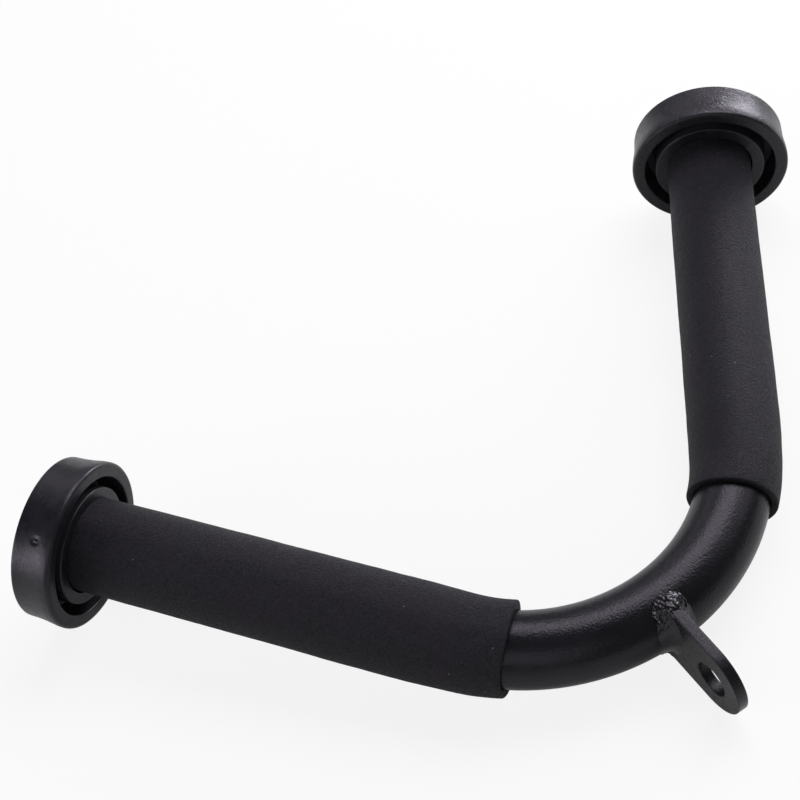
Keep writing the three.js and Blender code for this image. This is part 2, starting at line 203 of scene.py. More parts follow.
SCREW_TIP_CHAMFER = 0.8 * MM
HEAD_HEIGHT = 4.4 * MM
HEAD_RIM_HEIGHT = 0.9 * MM
HEAD_FLAT_RADIUS = 3.9 * MM
SOCKET_WIDTH = 5 * MM
SOCKET_DEPTH = 2.6 * MM
SOCKET_POINT = 0.6 * MM  # how much deeper its drilled middle is
SOCKET_CHAMFER = 0.3 * MM

LUG_EDGE = 0.35 * MM
LUG_HOLE_RADIUS = 6.8 * MM
LUG_HOLE_MARGIN = 14.3 * MM
LUG_HOLE_DROP = 0.4 * MM  # the hole was punched this much below the lug's middle
LUG_SINK = 0.6 * MM  # how deep the lug's root goes into the tube's wall

WELD_FOOT_TOP = 4.6 * MM  # how far the bead reaches over the tube at its top
WELD_FOOT = {-1: 8 * MM, 1: 5.5 * MM}  # and further down, to the lug's left and to its right
WELD_HEIGHT = 3.8 * MM  # how far it reaches up the lug
WELD_SINK = 1 * MM
WELD_FROM = math.radians(28)  # round the tube, from straight up towards the lug
WELD_SPREAD = math.radians(80)  # where the bead has become wide and hollow
WELD_TO = math.radians(152)
WELD_FULLNESS = 0.5  # of the bead's bow where it starts
WELD_FOOT_WANDER = 0.5 * MM
WELD_HEIGHT_WANDER = 0.15  # as a share of its height
WELD_WANDER_RATE = 3.0  # noise bumps to a radian
WELD_VOXEL = 0.25 * MM
BEAD_ROWS = (  # rows of drops round a horn: (half width, toe, rise over the tube, drop radius, drops)
    (5 * MM, 3.8 * MM, 0 * MM, 1.9 * MM, 12),
    (3.6 * MM, 4.8 * MM, 1 * MM, 1.9 * MM, 10),
    (1.9 * MM, 6 * MM, 1.7 * MM, 1.8 * MM, 8),
)
BEAD_ROUND = 105  # degrees to either side that the rows run round the horn
BEAD_SHAKE = 0.15 * MM  # how far a drop lies off its row, to either side
BEAD_RISE_SHAKE = 0.2 * MM
DROP_SIZES = (0.9, 1.1)  # shares of a drop's radius that it varies between
RUN_LENGTH = 4.2 * MM  # how far the weld runs out along the lug's two narrow sides
RUN_PLACES = np.linspace(0, 1, 7)  # shares of that length
RUN_ACROSS = np.linspace(-0.35, 0.35, 3)  # shares of the lug's thickness
RUN_DROP = 1.4 * MM  # radius of its drops where it starts
RUN_TAPER = 0.5 * MM  # and how much smaller they are where it ends
RUN_SINK = 0.5 * MM  # how deep they lie in the lug where it starts, and again as much where it ends
RUN_SHAKE = 0.3 * MM
RUN_RISE_SHAKE = 0.1 * MM
BEAD_END = 8 * MM  # the bead is rough from this far over and under the handle's plane
BEAD_END_BLEND = 3 * MM
RIPPLE = 0.06 * MM
RIPPLE_SIZE = 1.5 * MM
RIPPLE_SLANT = 0.8
RIPPLE_SHARE = 0.15  # of the ripples that the smooth middle of the bead keeps
WELD_LUMP = 0.2 * MM
WELD_LUMP_SIZE = 1.1 * MM
WELD_LUMP_SHARE = 0.1

ROUND_SIDES = 128
SCREW_SIDES = 96
CORNER_STEPS = 6
LONG_STEP = 1.5 * MM
STOP_STEP = 0.55 * MM
MARK_TURNS = np.linspace(-1.5, 1.5, 31)  # where the wall gets more columns round a mark, in its radii
DOME_STEPS = 12
LUG_TIP_STEPS = 49
LUG_ROOT_STEPS = 33
LUG_FACE_STEPS = 12
LUG_WALL_STEPS = 4
BEAD_STEPS = 60
BEAD_SECTION_STEPS = 11

# ------------------------------------------------------------------ shapes turned round the centreline


def centreline(distance):
    """Places on the tube's centreline at distances from the apex, minus being left, and the directions
    from there towards the bend's inside."""
    side = np.where(distance < 0, -1.0, 1.0)
    on_bend = np.minimum(np.abs(distance), BEND_HALF)
    on_arm = np.abs(distance) - on_bend
    turn = on_bend / BEND_RADIUS
    across = side * (BEND_RADIUS * np.sin(turn) + on_arm * np.cos(turn))
    along = BEND_RADIUS * (1 - np.cos(turn)) + on_arm * np.sin(turn)
    places = APEX + across[..., None] * ACROSS + along[..., None] * ALONG
    inward = -(side * np.sin(turn))[..., None] * ACROSS + np.cos(turn)[..., None] * ALONG
    return places, inward


def rounded(corners):
    """A closed outline through (distance, radius, rounding) corners, its rounded corners as arcs."""
    outline = []
    for index, (distance, radius, rounding) in enumerate(corners):
        corner = np.array([distance, radius])
        before = np.array(corners[index - 1][:2]) - corner
        after = np.array(corners[(index + 1) % len(corners)][:2]) - corner
        reach = min(rounding, np.linalg.norm(before) / 2, np.linalg.norm(after) / 2)
        if reach == 0:
            outline.append(corner)
            continue
        start = before / np.linalg.norm(before) * reach
        end = after / np.linalg.norm(after) * reach
        for turn in np.linspace(0, math.pi / 2, CORNER_STEPS):
            outline.append(corner + start * (1 - math.sin(turn)) + end * (1 - math.cos(turn)))
    return outline


def divided(outline, longest=LONG_STEP, closed=True):
    """The outline with points added so that no step is longer than that."""
    points = []
    following = outline[1:] + outline[:1] if closed else outline[1:]
    for start, end in zip(outline, following):
        steps = max(1, math.ceil(np.linalg.norm(np.subtract(end, start)) / longest))
        points += [start + (end - start) * step / steps for step in range(steps)]
    return points if closed else points + [outline[-1]]


def grid_faces(rows, columns, closed):
    """The quads of a grid whose columns close on themselves, and its rows too if it is closed."""
    faces = []
    for row in range(rows if closed else rows - 1):
        next_row = (row + 1) % rows
        for column in range(columns):
            next_column = (column + 1) % columns
            faces.append((
                row * columns + column,
                row * columns + next_column,
                next_row * columns + next_column,
                next_row * columns + column,
            ))
    return faces


def even_turns(sides):
    """Turns round the centreline. Turn 0 is the bend's inside and a right angle is up."""
    return np.linspace(0, 2 * math.pi, sides, endpoint=False)


def turned(outline, turns=even_turns(ROUND_SIDES), shape=None, closed=True):
    """The grid of places and the faces of an outline, (distance, radius) a point, turned round the
    centreline. shape may change each point's distance and radius by its turn."""
    sides = len(turns)
    turn = turns[None, :]
    outline = np.array(outline)
    distance = np.repeat(outline[:, :1], sides, axis=1)
    radius = np.repeat(outline[:, 1:], sides, axis=1)
    if shape:
        distance, radius = shape(distance, radius, np.repeat(turn, len(outline), axis=0))
    places, inward = centreline(distance)
    spokes = inward * np.cos(turn)[..., None] + UP * np.sin(turn)[..., None]
    return places + spokes * radius[..., None], grid_faces(len(outline), sides, closed)


def skin_places(distance, turn, radius):
    """Places for noise on a surface turned round the centreline."""
    places, inward = centreline(distance)
    spokes = inward * np.cos(turn)[..., None] + UP * np.sin(turn)[..., None]
    return places + spokes * radius


def ripple(places, size, seed):
    """Smooth noise from -1 to 1 at each place, with bumps of about that size."""
    scaled = places.reshape(-1, 3) / size + seed
    return np.array([noise.noise(place) for place in scaled]).reshape(places.shape[:-1])


# ------------------------------------------------------------------ pieces


def clean_mesh(name, vertices, faces, painted_shading=None):
    """A smooth-shaded mesh with merged corners and its faces pointing out. The last argument says how much
    each row of vertices is painted by the material: painted shade on a foam's cut end, painted light in a
    stop's groove."""
    mesh = bpy.data.meshes.new(name)
    mesh.from_pydata(np.asarray(vertices).reshape(-1, 3).tolist(), [], faces)
    if painted_shading is not None:
        shares = np.repeat(np.array(painted_shading, dtype=float), len(mesh.vertices) // len(painted_shading))
        mesh.attributes.new("painted_shading", "FLOAT", "POINT").data.foreach_set("value", shares)
    work = bmesh.new()
    work.from_mesh(mesh)
    bmesh.ops.remove_doubles(work, verts=work.verts, dist=MERGED)
    bmesh.ops.recalc_face_normals(work, faces=work.faces)
    for face in work.faces:
        face.smooth = True
    work.to_mesh(mesh)
    work.free()
    return mesh


def add_piece(name, mesh, material, slot, *nodes):
    """A piece of the handle that stands for those CAD nodes."""
    piece = bpy.data.objects.new(name, mesh)
    bpy.context.scene.collection.objects.link(piece)
    mesh.materials.clear()
    mesh.materials.append(material)
    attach(piece, BODY)
    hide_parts(*nodes)
    return piece


def bent_tube():
    """The whole tube, its two arms and the bend between them."""
    outline = divided(rounded([
        (-ARM_END, TUBE_RADIUS, SMALL_EDGE),
        (ARM_END, TUBE_RADIUS, SMALL_EDGE),
        (ARM_END, TUBE_BORE, SMALL_EDGE),
        (-ARM_END, TUBE_BORE, SMALL_EDGE),
    ]))
    places, faces = turned(outline)
    return clean_mesh("bent_tube", places, faces)


def grip_radius(side_name):
    """A grip's radius away from its cut end."""
    return FOAM_RADIUS + FOAM_STRETCH[side_name]


def grip(side_name):
    """A foam sleeve, from its cut end on the bend to the arm's end in the stop."""
    side = SIDES[side_name]
    outer = grip_radius(side_name)
    outline = divided(rounded([
        (FOAM_START, outer, FOAM_EDGE),
        (ARM_END, outer, FOAM_EDGE),
        (ARM_END, FOAM_BORE, 0),
        (FOAM_START, FOAM_BORE, FOAM_EDGE / 2),
    ]))
    outline = [(side * distance, radius) for distance, radius in outline]

    def soften(distance, radius, turn):
        """Pinches and leans the cut end, and lets the skin wander where the stop doesn't hold it."""
        from_cut = np.abs(distance) - FOAM_START
        outside = (radius - FOAM_BORE) / (outer - FOAM_BORE)
        skin = skin_places(distance, turn, outer)
        wander = FOAM_WAVE * ripple(skin, FOAM_WAVE_SIZE, seed=3.1)
        wander += FOAM_LUMP * ripple(skin, FOAM_LUMP_SIZE, seed=8.7)
        free = np.clip((RIM_DISTANCE - np.abs(distance)) / FOAM_HELD, 0, 1)
        pinch = FOAM_PINCH[side_name] * np.clip(1 - from_cut / FOAM_PINCH_LENGTH, 0, 1)
        along = from_cut / (ARM_END - FOAM_START)
        shift = np.interp(along, FOAM_SHIFT_AT, FOAM_SHIFT[side_name])
        radius = radius + outside * (free * wander - pinch + shift * np.cos(turn))
        near_cut = np.clip(1 - from_cut / CUT_LEAN_LENGTH, 0, 1)
        ring = skin_places(np.full_like(distance, side * FOAM_START), turn, outer)
        ragged = CUT_WAVE * ripple(ring, CUT_WAVE_SIZE, seed=5.3)
        ragged += CUT_NIBBLE * ripple(ring, CUT_NIBBLE_SIZE, seed=1.9)
        cut = CUT_REACH[side_name] + CUT_LEAN[side_name] * np.cos(turn) + ragged
        return distance - side * near_cut * cut, radius

    # the rows of the cut end, which the foam's material colours near black as painted shade
    cut = [
        abs(distance) < FOAM_START + SAME and radius < outer - FOAM_EDGE
        for distance, radius in outline
    ]
    places, faces = turned(outline, shape=soften)
    return clean_mesh("grip", places, faces, cut)


def stop(side_name):
    """A moulded end stop: a hub round the foam, an open groove, a rim, and a counterbore for the screw."""
    side = SIDES[side_name]
    hub_radius = STOP_RADIUS - RIM_WALL - GROOVE_WIDTH
    hub_bore = grip_radius(side_name) + HUB_CLEARANCE
    groove_floor = STOP_THICKNESS - FACE_WALL
    outer_face = STOP_THICKNESS + FACE_PROUD[side_name]
    outline = divided(rounded([
        (HUB_SEAT, hub_bore, 0),
        (HUB_RECESS, hub_bore, FINE_EDGE),
        (HUB_RECESS, hub_radius, SMALL_EDGE),
        (groove_floor, hub_radius, GROOVE_FLOOR_RADIUS),
        (groove_floor, hub_radius + GROOVE_WIDTH, GROOVE_FLOOR_RADIUS),
        (-RIM_PROUD[side_name], hub_radius + GROOVE_WIDTH, SMALL_EDGE),
        (-RIM_PROUD[side_name], STOP_RADIUS, RIM_EDGE[side_name]),
        (LIP_HEIGHT, STOP_RADIUS, LIP_EDGE),
        (WAIST_HEIGHT, STOP_RADIUS - WAIST_INSET, WAIST_BLEND),
        (outer_face, STOP_RADIUS - FACE_INSET, FACE_EDGE),
        (outer_face, COUNTERBORE_RADIUS, SMALL_EDGE),
        (COUNTERBORE_FLOOR, COUNTERBORE_RADIUS, 0),
        (COUNTERBORE_FLOOR, SCREW_HOLE_RADIUS, 0),
        (HUB_SEAT, SCREW_HOLE_RADIUS, 0),
    ]), STOP_STEP)
    outline = [(side * (RIM_DISTANCE + height), radius) for height, radius in outline]
    wall = STOP_RADIUS - FACE_INSET - SMALL_EDGE
    turns = even_turns(2 * ROUND_SIDES)
    for mark_turn, _, size, _ in STOP_MARKS[side_name]:
        nearby = math.radians(mark_turn) + MARK_TURNS * size / STOP_RADIUS
        turns = np.union1d(turns, nearby % (2 * math.pi))

    def mould(distance, radius, turn):
        """Makes the wall a little uneven and presses the marks into it."""
        height = np.abs(distance) - RIM_DISTANCE
        on_wall = np.clip((radius - wall) / SMALL_EDGE, 0, 1)
        skin = skin_places(distance, turn, STOP_RADIUS)
        moved = WALL_WAVE * ripple(skin, WALL_WAVE_SIZE, seed=6.4)
        for mark_turn, mark_height, size, depth in STOP_MARKS[side_name]:
            apart = (turn - math.radians(mark_turn) + math.pi) % (2 * math.pi) - math.pi
            away = np.hypot(apart * STOP_RADIUS, height - mark_height) / size
            moved = moved - depth * np.clip(1 - away ** 2, 0, 1) ** 2
        shifted = np.clip((radius - hub_bore) / (hub_radius - hub_bore), 0, 1)
        return distance, radius + on_wall * moved + shifted * STOP_SHIFT[side_name] * np.cos(turn)

    # the rows deep in the groove, which the plastic's material colours lighter as painted light
    groove = [
        abs(radius - hub_radius - GROOVE_WIDTH / 2) < GROOVE_WIDTH / 2 + SAME
        and GROOVE_PAINTED_LIGHT_HEIGHT < abs(distance) - RIM_DISTANCE < groove_floor + SAME
        for distance, radius in outline
    ]
    places, faces = turned(outline, turns=turns, shape=mould)
    return clean_mesh("stop", places, faces, groove)


def washer(side):
    """A plain washer in a stop's counterbore."""
    outline = rounded([
        (WASHER_BOTTOM, WASHER_BORE, STEEL_EDGE),
        (WASHER_BOTTOM, WASHER_RADIUS, STEEL_EDGE),
        (WASHER_TOP, WASHER_RADIUS, FINE_EDGE),
        (WASHER_TOP, WASHER_BORE, STEEL_EDGE),
    ])
    outline = [(side * (RIM_DISTANCE + height), radius) for height, radius in outline]
    places, faces = turned(outline)
    return clean_mesh("washer", places, faces)


def screw(side):
    """A button-head screw with a hexagon socket."""
    seat = HEAD_TOP - HEAD_HEIGHT
    dome_height = HEAD_HEIGHT - HEAD_RIM_HEIGHT
    dome = [
        (
            seat + HEAD_RIM_HEIGHT + dome_height * math.sin(turn),
            HEAD_FLAT_RADIUS + (HEAD_RADIUS - HEAD_FLAT_RADIUS) * math.cos(turn),
        )
        for turn in np.linspace(0, math.pi / 2, DOME_STEPS)
    ]
    socket = [
        (HEAD_TOP, SOCKET_WIDTH / 2 + SOCKET_CHAMFER),
        (HEAD_TOP - SOCKET_CHAMFER, SOCKET_WIDTH / 2),
        (HEAD_TOP - SOCKET_DEPTH, SOCKET_WIDTH / 2),
        (HEAD_TOP - SOCKET_DEPTH - SOCKET_POINT, 0),
    ]
    outline = [
        (SCREW_TIP, 0),
        (SCREW_TIP, SCREW_RADIUS - SCREW_TIP_CHAMFER),
        (SCREW_TIP + SCREW_TIP_CHAMFER, SCREW_RADIUS),
        (seat, SCREW_RADIUS),
        (seat, HEAD_RADIUS - STEEL_EDGE),
        (seat + STEEL_EDGE, HEAD_RADIUS),
        *dome,
        *socket,
    ]
    outline = [(side * (RIM_DISTANCE + height), radius) for height, radius in outline]

    def hexagon(distance, radius, turn):
        """Widens the socket's rows, which come last, from a circle to a hexagon round it."""
        sector = math.pi / 3
        rows = slice(-len(socket), None)
        radius[rows] /= np.cos((turn[rows] % sector) - sector / 2)
        return distance, radius

    places, faces = turned(outline, turns=even_turns(SCREW_SIDES), shape=hexagon, closed=False)
    return clean_mesh("screw", places, faces)


# ------------------------------------------------------------------ the lug and its weld


def lug_place(across, out, up):
    """A place given from the apex: across the handle, outwards past the bend, and up."""
    return APEX + across * ACROSS - out * ALONG + up * UP


def lug_outline():
    """Round the lug's side, (out, up) a point: the tip's arc, a side, a horn, the tube's arc and back."""
    half = LUG_WIDTH / 2
    tip_centre = LUG_REACH - half
    inside = TUBE_RADIUS - LUG_SINK
    horn = math.acos(LUG_ROOT / inside)
    tip = [
        np.array([tip_centre + half * math.cos(turn), half * math.sin(turn)])
        for turn in np.linspace(-math.pi / 2, math.pi / 2, LUG_TIP_STEPS)
    ]
    root = [
        np.array([inside * math.cos(turn), inside * math.sin(turn)])
        for turn in np.linspace(horn, -horn, LUG_ROOT_STEPS)
    ]
    return divided([*tip, np.array([LUG_ROOT, half]), *root, np.array([LUG_ROOT, -half])])


def lug():
    """The plate with its hole, as loops that run over one face, through the hole and back outside."""
    outer = np.array(lug_outline())
    hole_centre = np.array([LUG_REACH - LUG_HOLE_MARGIN, -LUG_HOLE_DROP])
    spokes = outer - hole_centre
    hole = hole_centre + spokes / np.linalg.norm(spokes, axis=1)[:, None] * LUG_HOLE_RADIUS
    tangent = np.roll(outer, -1, axis=0) - np.roll(outer, 1, axis=0)
    normal = np.stack([tangent[:, 1], -tangent[:, 0]], axis=1)
    normal /= np.linalg.norm(normal, axis=1)[:, None]
    half = LUG_THICKNESS / 2

    def edge(loop, inward, side):
        """The loops that round one edge, from the plate's face to its narrow side."""
        loops = []
        for turn in np.linspace(0, math.pi / 2, CORNER_STEPS):
            inset = LUG_EDGE * (1 - math.sin(turn))
            height = side * (half - LUG_EDGE * (1 - math.cos(turn)))
            loops.append((loop + inward * inset, height))
        return loops

    to_rim = (hole - hole_centre) / LUG_HOLE_RADIUS
    outer_edges = [edge(outer, -normal, side) for side in (1, -1)]
    hole_edges = [edge(hole, to_rim, side) for side in (1, -1)]

    def face(side_index):
        """The loops of one face of the plate, from its outer edge to the hole's."""
        start, height = outer_edges[side_index][0]
        end = hole_edges[side_index][0][0]
        shares = np.linspace(0, 1, LUG_FACE_STEPS + 1)[1:-1]
        return [(start + (end - start) * share, height) for share in shares]

    def wall(loop):
        """The loops of a narrow side, from the first face to the second."""
        flat = half - LUG_EDGE
        shares = np.linspace(0, 1, LUG_WALL_STEPS + 1)[1:-1]
        return [(loop, flat * (1 - 2 * share)) for share in shares]

    loops = [
        *outer_edges[0][::-1], *face(0), *hole_edges[0], *wall(hole),
        *hole_edges[1][::-1], *face(1)[::-1], *outer_edges[1], *wall(outer)[::-1],
    ]
    places = np.array([[lug_place(height, out, up) for out, up in loop] for loop, height in loops])
    return clean_mesh("lug", places, grid_faces(len(loops), len(outer), True))


def round_tube(across, radius, turn):
    """A place round the bend near the lug: turn 0 is straight up and a right angle is the lug's way."""
    sagitta = across ** 2 / (2 * BEND_RADIUS)
    return lug_place(across, radius * math.sin(turn) - sagitta, radius * math.cos(turn))


def eased(value, low, high):
    """0 below low, 1 above high and smooth in between."""
    share = min(max((value - low) / (high - low), 0), 1)
    return share * share * (3 - 2 * share)


def fillet(side):
    """The swept bead along one side of the lug's root, sunk a little into the tube and the lug. It is
    narrow and full at the top and runs out wide and hollow further down."""
    vertices = []
    seed = 5.0 * side
    turns = np.linspace(WELD_FROM, WELD_TO, BEAD_STEPS)
    for turn in turns:
        lower = eased(turn, WELD_FROM, WELD_SPREAD)
        wander = noise.noise(Vector((seed, turn * WELD_WANDER_RATE, 0.0)))
        foot = WELD_FOOT_TOP + (WELD_FOOT[side] - WELD_FOOT_TOP) * lower + WELD_FOOT_WANDER * wander
        high = WELD_HEIGHT * (1 + WELD_HEIGHT_WANDER * wander)
        bow = WELD_FULLNESS * (1 - lower)
        section = [(-WELD_SINK, -WELD_SINK), (foot, -WELD_SINK)]
        for share in np.linspace(0, 1, BEAD_SECTION_STEPS):
            across = foot * ((1 - share) ** 2 + 2 * share * (1 - share) * bow)
            rise = high * (share ** 2 + 2 * share * (1 - share) * bow)
            section.append((across, rise))
        section.append((-WELD_SINK, high))
        vertices += [
            round_tube(side * (LUG_THICKNESS / 2 + across), TUBE_RADIUS + rise, turn)
            for across, rise in section
        ]
    count = len(section)
    faces = grid_faces(len(turns), count, False)
    faces.append(tuple(range(count)))
    faces.append(tuple(range((len(turns) - 1) * count, len(turns) * count)))
    return vertices, faces


def weld_drops():
    """(place, radius) of the drops that melt into the bead's thick ends, round the lug's two horns and
    out along its narrow sides."""
    draw = random.Random(11)
    drops = []
    for up_side in (1, -1):
        for half, toe, rise, radius, count in BEAD_ROWS:
            for angle in np.radians(np.linspace(-BEAD_ROUND, BEAD_ROUND, count)):
                across = half * math.sin(angle) + draw.uniform(-BEAD_SHAKE, BEAD_SHAKE)
                out = LUG_ROOT + (toe - LUG_ROOT) * math.cos(angle)
                turn = math.asin(out / TUBE_RADIUS)
                height = rise * (1 + math.cos(angle)) / 2 + draw.uniform(-BEAD_RISE_SHAKE, BEAD_RISE_SHAKE)
                place = round_tube(across, TUBE_RADIUS + height, turn)
                drops.append((mirrored_up(place, up_side), radius * draw.uniform(*DROP_SIZES)))
        for run in RUN_PLACES:
            for across in RUN_ACROSS * LUG_THICKNESS:
                out = LUG_ROOT + run * RUN_LENGTH + draw.uniform(-RUN_SHAKE, RUN_SHAKE)
                up = LUG_WIDTH / 2 - RUN_SINK * (1 + run) + draw.uniform(-RUN_RISE_SHAKE, RUN_RISE_SHAKE)
                radius = (RUN_DROP - RUN_TAPER * run) * draw.uniform(*DROP_SIZES)
                drops.append((mirrored_up(lug_place(across, out, up), up_side), radius))
    return drops


def mirrored_up(place, up_side):
    """The place itself, or its mirror image in the handle's own plane."""
    if up_side > 0:
        return place
    return place - 2 * ((place - APEX) @ UP) * UP


def weld():
    """One bead all round the lug's root: fillets and drops melted into one skin, rough at its ends."""
    work = bmesh.new()
    for side in (-1, 1):
        vertices, faces = fillet(side)
        corners = [work.verts.new(vertex) for vertex in vertices]
        for face in faces:
            work.faces.new([corners[index] for index in face])
    for place, radius in weld_drops():
        at = Matrix.Translation(Vector(place))
        bmesh.ops.create_icosphere(work, subdivisions=3, radius=radius, matrix=at)
    bmesh.ops.recalc_face_normals(work, faces=work.faces)
    raw = bpy.data.meshes.new("weld_raw")
    work.to_mesh(raw)
    work.free()
    helper = bpy.data.objects.new("weld_helper", raw)
    bpy.context.scene.collection.objects.link(helper)
    remesh = helper.modifiers.new("melt", "REMESH")
    remesh.mode = "VOXEL"
    remesh.voxel_size = WELD_VOXEL
    smooth = helper.modifiers.new("settle", "SMOOTH")
    smooth.factor = 0.5
    smooth.iterations = 4
    melted = helper.evaluated_get(bpy.context.evaluated_depsgraph_get())
    mesh = bpy.data.meshes.new_from_object(melted)
    bpy.data.objects.remove(helper)
    roughen(mesh)
    for polygon in mesh.polygons:
        polygon.use_smooth = True
    return mesh


def roughen(mesh):
    """Moves the weld's skin in and out: ripples across the bead, and finer lumps at its two ends."""
    places = np.array([vertex.co for vertex in mesh.vertices])
    normals = np.array([vertex.normal for vertex in mesh.vertices])
    from_apex = places - APEX
    turn = np.arctan2(-from_apex @ ALONG, from_apex @ UP)
    at_end = np.clip((np.abs(from_apex @ UP) - BEAD_END) / BEAD_END_BLEND, 0, 1)
    slant = RIPPLE_SLANT * np.abs(from_apex @ ACROSS)
    ripples = np.sin(2 * math.pi * (turn * TUBE_RADIUS - slant) / RIPPLE_SIZE)
    lumps = ripple(places, WELD_LUMP_SIZE, seed=2.2)
    move = RIPPLE * ripples * (RIPPLE_SHARE + (1 - RIPPLE_SHARE) * at_end)
    move += WELD_LUMP * lumps * (WELD_LUMP_SHARE + (1 - WELD_LUMP_SHARE) * at_end)
    for vertex, place, normal, step in zip(mesh.vertices, places, normals, move):
        vertex.co = place + normal * step


# ------------------------------------------------------------------ materials


def add(tree, kind, inputs=None, **settings):
    """A node of that kind, with its settings made and its inputs set or linked."""
    made = tree.nodes.new(kind)
    for name, value in settings.items():
        setattr(made, name, value)
    for name, value in (inputs or {}).items():
        if isinstance(value, bpy.types.NodeSocket):
            tree.links.new(value, made.inputs[name])
        else:
            made.inputs[name].default_value = value
    return made


def object_place(tree):
    """Each place in the handle's own frame, which the noises are laid out in."""
    return add(tree, "ShaderNodeTexCoord").outputs["Object"]


def noise_field(tree, size, detail=2.0, roughness=0.5, warp=0.0):
    """A noise texture whose bumps have about that size. warp makes them twist into each other."""
    inputs = {
        "Vector": object_place(tree),
        "Scale": 1 / size,
        "Detail": detail,
        "Roughness": roughness,
        "Distortion": warp,
    }
    return add(tree, "ShaderNodeTexNoise", inputs).outputs["Fac"]


def spread(tree, field, source, target):
    """The field mapped from the source range to the target range, each as (its start, its end)."""
    inputs = {
        "Value": field,
        "From Min": source[0],
        "From Max": source[1],
        "To Min": target[0],
        "To Max": target[1],
    }
    return add(tree, "ShaderNodeMapRange", inputs).outputs["Result"]


def mix_colours(tree, share, first, second):
    """The first colour where the share is 0 and the second where it is 1."""
    node = add(tree, "ShaderNodeMix", {"Factor": share}, data_type="RGBA")
    first_socket, second_socket = [socket for socket in node.inputs if socket.type == "RGBA"]
    for socket, colour in ((first_socket, first), (second_socket, second)):
        if isinstance(colour, bpy.types.NodeSocket):
            tree.links.new(colour, socket)
        else:
            socket.default_value = (*colour, 1)
    return next(socket for socket in node.outputs if socket.type == "RGBA")


def calculate(tree, operation, first, second):
    """Two fields or numbers put together."""
    return add(tree, "ShaderNodeMath", {0: first, 1: second}, operation=operation).outputs[0]


def painted_shading_share(tree):
    """How much a place is painted: painted shade on a foam's cut end, painted light in a stop's groove."""
    return add(tree, "ShaderNodeAttribute", attribute_name="painted_shading").outputs["Fac"]


def bump(tree, layers):
    """The normal after several height fields, (field, height in metres) each."""
    normal = None
    for field, height in layers:
        inputs = {"Height": field, "Distance": height, "Strength": 1.0}
        if normal:
            inputs["Normal"] = normal
        normal = add(tree, "ShaderNodeBump", inputs).outputs["Normal"]
    return normal


def new_material(name, **values):
    """A material with a Principled shader whose named sockets are set."""
    material = bpy.data.materials.new(name)
    material.use_nodes = True
    tree = material.node_tree
    shader = tree.nodes["Principled BSDF"]
    for socket, value in values.items():
        shader.inputs[socket.replace("_", " ")].default_value = value
    return material, tree, shader


GLOSS_TINT = (0.99, 0.96, 1.0, 1)
MIDDLING = (0.35, 0.65)  # where most of a noise's values lie
WIDER = (0.3, 0.7)  # and nearly all of them
SHARE = (0, 1)


def powder_coat(name, dark, light, roughness, peel_height, peel_size, ior):
    """Black powder coat on steel: an orange peel, with its gloss and its blackness slightly uneven."""
    gloss_change = 0.04
    material, tree, shader = new_material(name, IOR=ior, Specular_Tint=GLOSS_TINT)
    peel = noise_field(tree, peel_size, detail=1.0)
    fine = noise_field(tree, 0.4 * peel_size, detail=1.0)
    unevenness = noise_field(tree, 7 * MM, detail=1.0)
    patches = noise_field(tree, 12 * MM, detail=3.0)
    smears = noise_field(tree, 3 * MM, detail=3.0)
    colour = mix_colours(tree, spread(tree, patches, MIDDLING, SHARE), dark, light)
    gloss = spread(tree, smears, WIDER, (roughness - gloss_change, roughness + gloss_change))
    normal = bump(tree, [(unevenness, 0.05 * MM), (peel, peel_height), (fine, 0.5 * peel_height)])
    tree.links.new(colour, shader.inputs["Base Color"])
    tree.links.new(gloss, shader.inputs["Roughness"])
    tree.links.new(normal, shader.inputs["Normal"])
    return material


def foam_material():
    """Matte closed-cell foam: a crinkled skin, coloured darker in its furrows and lighter on its ridges as
    painted shade and painted light, mottled in warmer patches, with a few pale specks, and painted shade on
    its cut end.
    """
    # painted shade and painted light: the crinkles' furrows are coloured darker and their ridges lighter,
    # following the bump
    furrow_painted_shade = (0.0058, 0.0054, 0.0069)
    ridge_painted_light = (0.0169, 0.0156, 0.0204)
    warmer = (0.015, 0.011, 0.0162)
    pale = (0.17, 0.165, 0.175)
    # painted shade: the cut end is coloured near black
    cut = (0.002, 0.002, 0.002)
    speck_spacing = 9 * MM
    speck_edge = (0.022, 0.034)  # shares of that
    material, tree, shader = new_material("foam", IOR=1.3)
    worms = noise_field(tree, 0.9 * MM, detail=4.0, roughness=0.7, warp=0.9)
    grain = noise_field(tree, 0.6 * MM)
    skin = noise_field(tree, 4 * MM)
    patches = noise_field(tree, 16 * MM)
    specks = add(tree, "ShaderNodeTexVoronoi", {"Vector": object_place(tree), "Scale": 1 / speck_spacing})
    speck = spread(tree, specks.outputs["Distance"], speck_edge, (1, 0))
    colour = mix_colours(tree, spread(tree, worms, (0.38, 0.62), SHARE), furrow_painted_shade, ridge_painted_light)
    colour = mix_colours(tree, spread(tree, patches, (0.4, 0.65), (0, 0.5)), colour, warmer)
    colour = mix_colours(tree, speck, colour, pale)
    colour = mix_colours(tree, painted_shading_share(tree), colour, cut)
    gloss = spread(tree, worms, WIDER, (0.68, 0.46))
    normal = bump(tree, [(skin, 0.15 * MM), (worms, 1.0 * MM), (grain, 0.5 * MM)])
    tree.links.new(colour, shader.inputs["Base Color"])
    tree.links.new(gloss, shader.inputs["Roughness"])
    tree.links.new(normal, shader.inputs["Normal"])
    return material


